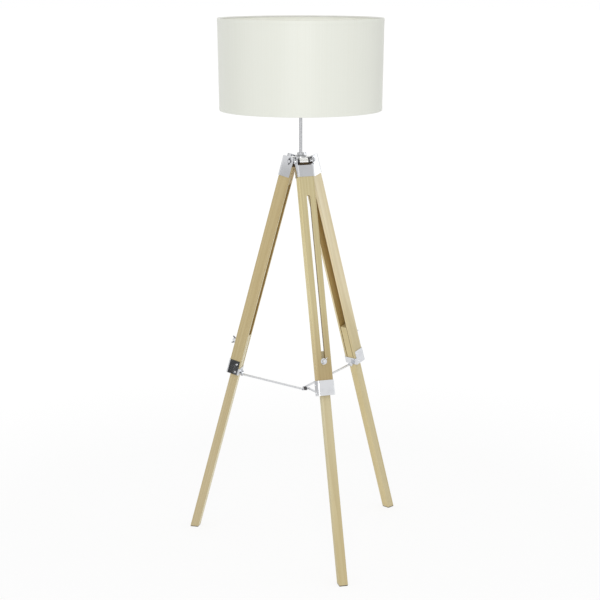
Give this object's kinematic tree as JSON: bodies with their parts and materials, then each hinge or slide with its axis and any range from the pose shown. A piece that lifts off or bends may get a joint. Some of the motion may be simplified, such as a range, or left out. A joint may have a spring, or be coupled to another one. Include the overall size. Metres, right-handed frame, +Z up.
{
  "type": "tripod floor lamp",
  "caption": "Tripod floor lamp: pale wooden telescopic legs with chrome caps and collars fold about a central head; a thin stem carries a wide ivory drum shade.",
  "frame": {"origin": "on the floor, under the lamp's vertical axis", "axes": "+Z up along the stem and the axis of the shade; the front leg points to -Y, the other two are turned 120 degrees to each side; the legs, the spreader and the head's three arms lean 1.14 degrees under the level stem and shade, as in the picture"},
  "size_m": [0.6353, 0.5929, 1.4865],
  "materials": {
    "wood": "satin clear varnish on pale straight-grained wood",
    "chrome": "bright chrome plate",
    "stem_metal": "satin chrome",
    "shade_fabric": "ivory woven fabric on a stiff lining",
    "white_wire": "white painted wire",
    "white_plastic": "moulded white",
    "ceramic_insert": "matt off-white",
    "brass": "plain",
    "bulb_metal": "bright",
    "bulb_glass": "frosted",
    "dark_plastic": "black moulded",
    "nylon": "black moulded",
    "foot_rubber": "dark"
  },
  "bodies": {
    "head": {"head_casting": "chrome", "hinge_bolts": "chrome", "hinge_bushes": "nylon", "cord_bush": "nylon", "stem": "stem_metal", "stem_flange": "stem_metal", "stem_nut": "stem_metal", "stem_lock_nut": "chrome", "lampholder_cap": "white_plastic", "lampholder_body": "white_plastic", "lampholder_insert": "ceramic_insert", "lampholder_contacts": "brass", "shade_spider": "white_wire", "shade_top_ring": "white_wire", "shade_fabric": "shade_fabric"},
    "shade_ring": {"shade_ring_nut": "white_plastic"},
    "bulb": {"bulb_cap": "bulb_metal", "bulb_glass": "bulb_glass"},
    "spreader_hub": {"spreader_hub": "dark_plastic"},
    "front_leg": {"front_cap": "chrome", "front_cap_pin": "chrome", "front_upper_leg": "wood", "front_collar": "chrome", "front_collar_screws": "chrome", "front_lug_pin": "chrome"},
    "front_lower_leg": {"front_lower_leg": "wood", "front_foot_pad": "foot_rubber", "front_clamp_bolt": "chrome"},
    "front_clamp_nut": {"front_clamp_wing_nut": "chrome"},
    "front_hinge_nut": {"front_hinge_wing_nut": "chrome"},
    "front_rod": {"front_spreader_rod": "chrome"},
    "right_leg": {"right_cap": "chrome", "right_cap_pin": "chrome", "right_upper_leg": "wood", "right_collar": "chrome", "right_collar_screws": "chrome", "right_lug_pin": "chrome"},
    "right_lower_leg": {"right_lower_leg": "wood", "right_foot_pad": "foot_rubber", "right_clamp_bolt": "chrome"},
    "right_clamp_nut": {"right_clamp_wing_nut": "chrome"},
    "right_hinge_nut": {"right_hinge_wing_nut": "chrome"},
    "right_rod": {"right_spreader_rod": "chrome"},
    "left_leg": {"left_cap": "chrome", "left_cap_pin": "chrome", "left_upper_leg": "wood", "left_collar": "chrome", "left_collar_screws": "chrome", "left_lug_pin": "chrome"},
    "left_lower_leg": {"left_lower_leg": "wood", "left_foot_pad": "foot_rubber", "left_clamp_bolt": "chrome"},
    "left_clamp_nut": {"left_clamp_wing_nut": "chrome"},
    "left_hinge_nut": {"left_hinge_wing_nut": "chrome"},
    "left_rod": {"left_spreader_rod": "chrome"}
  },
  "joints": [
    {"name": "front_leg_fold", "type": "hinge", "parent": "head", "child": "front_leg", "pos_m": [0, -0.026, 1.10213], "axis": [0.9998, 0, 0.0192], "range_deg": [0, 14]},
    {"name": "front_lower_leg_slide", "type": "slide", "parent": "front_leg", "child": "front_lower_leg", "axis": [-0.0184, 0.2871, 0.9577], "range_m": [0, 0.44]},
    {"name": "front_clamp_nut_turn", "type": "hinge", "parent": "front_lower_leg", "child": "front_clamp_nut", "pos_m": [0.00999, -0.20441, 0.58257], "axis": [-0.0055, -0.9579, 0.2871], "continuous": true},
    {"name": "front_hinge_nut_turn", "type": "hinge", "parent": "head", "child": "front_hinge_nut", "pos_m": [0.02354, -0.026, 1.10259], "axis": [0.9998, 0, 0.0192], "continuous": true},
    {"name": "front_rod_swing", "type": "hinge", "parent": "front_leg", "child": "front_rod", "pos_m": [0.01191, -0.19074, 0.48297], "axis": [-0.9998, 0, -0.0192], "range_deg": [0, 85.32]},
    {"name": "right_leg_fold", "type": "hinge", "parent": "head", "child": "right_leg", "pos_m": [0.02251, 0.013, 1.10237], "axis": [-0.4999, 0.866, -0.0141], "range_deg": [0, 14]},
    {"name": "right_lower_leg_slide", "type": "slide", "parent": "right_leg", "child": "right_lower_leg", "axis": [-0.2628, -0.1362, 0.9552], "range_m": [0, 0.44]},
    {"name": "right_clamp_nut_turn", "type": "hinge", "parent": "right_lower_leg", "child": "right_clamp_nut", "pos_m": [0.18468, 0.09819, 0.58437], "axis": [0.8253, 0.4812, 0.2956], "continuous": true},
    {"name": "right_hinge_nut_turn", "type": "hinge", "parent": "head", "child": "right_hinge_nut", "pos_m": [0.01074, 0.0334, 1.10203], "axis": [-0.4999, 0.866, -0.0141], "continuous": true},
    {"name": "right_rod_swing", "type": "hinge", "parent": "right_leg", "child": "right_rod", "pos_m": [0.17431, 0.09059, 0.48465], "axis": [0.4999, -0.866, 0.0141], "range_deg": [0, 85.32]},
    {"name": "left_leg_fold", "type": "hinge", "parent": "head", "child": "left_leg", "pos_m": [-0.02251, 0.013, 1.1015], "axis": [-0.5, -0.866, -0.0051], "range_deg": [0, 14]},
    {"name": "left_lower_leg_slide", "type": "slide", "parent": "left_leg", "child": "left_lower_leg", "axis": [0.2259, -0.1361, 0.9646], "range_m": [0, 0.44]},
    {"name": "left_clamp_nut_turn", "type": "hinge", "parent": "left_lower_leg", "child": "left_clamp_nut", "pos_m": [-0.16466, 0.09817, 0.57766], "axis": [-0.8361, 0.4811, 0.2637], "continuous": true},
    {"name": "left_hinge_nut_turn", "type": "hinge", "parent": "head", "child": "left_hinge_nut", "pos_m": [-0.03429, -0.0074, 1.10138], "axis": [-0.5, -0.866, -0.0051], "continuous": true},
    {"name": "left_rod_swing", "type": "hinge", "parent": "left_leg", "child": "left_rod", "pos_m": [-0.15047, 0.09057, 0.4784], "axis": [0.5, 0.866, 0.0051], "range_deg": [0, 85.32]},
    {"name": "hub_drop", "type": "slide", "parent": "head", "child": "spreader_hub", "axis": [0.0192, -0.0051, -0.9998], "range_m": [0, 0.1733]},
    {"name": "shade_ring_turn", "type": "hinge", "parent": "head", "child": "shade_ring", "pos_m": [0, 0, 1.2668], "axis": [0, 0, 1], "continuous": true},
    {"name": "bulb_turn", "type": "hinge", "parent": "head", "child": "bulb", "pos_m": [0, 0, 1.285], "axis": [0, 0, 1], "continuous": true}
  ],
  "couplings": [
    {"joint": "front_rod_swing", "follows": "front_leg_fold", "ratio": 6.091},
    {"joint": "right_leg_fold", "follows": "front_leg_fold", "ratio": 1},
    {"joint": "right_rod_swing", "follows": "front_leg_fold", "ratio": 6.091},
    {"joint": "left_leg_fold", "follows": "front_leg_fold", "ratio": 1},
    {"joint": "left_rod_swing", "follows": "front_leg_fold", "ratio": 6.091},
    {"joint": "hub_drop", "follows": "front_leg_fold", "m_per_rad": 0.70737}
  ]
}
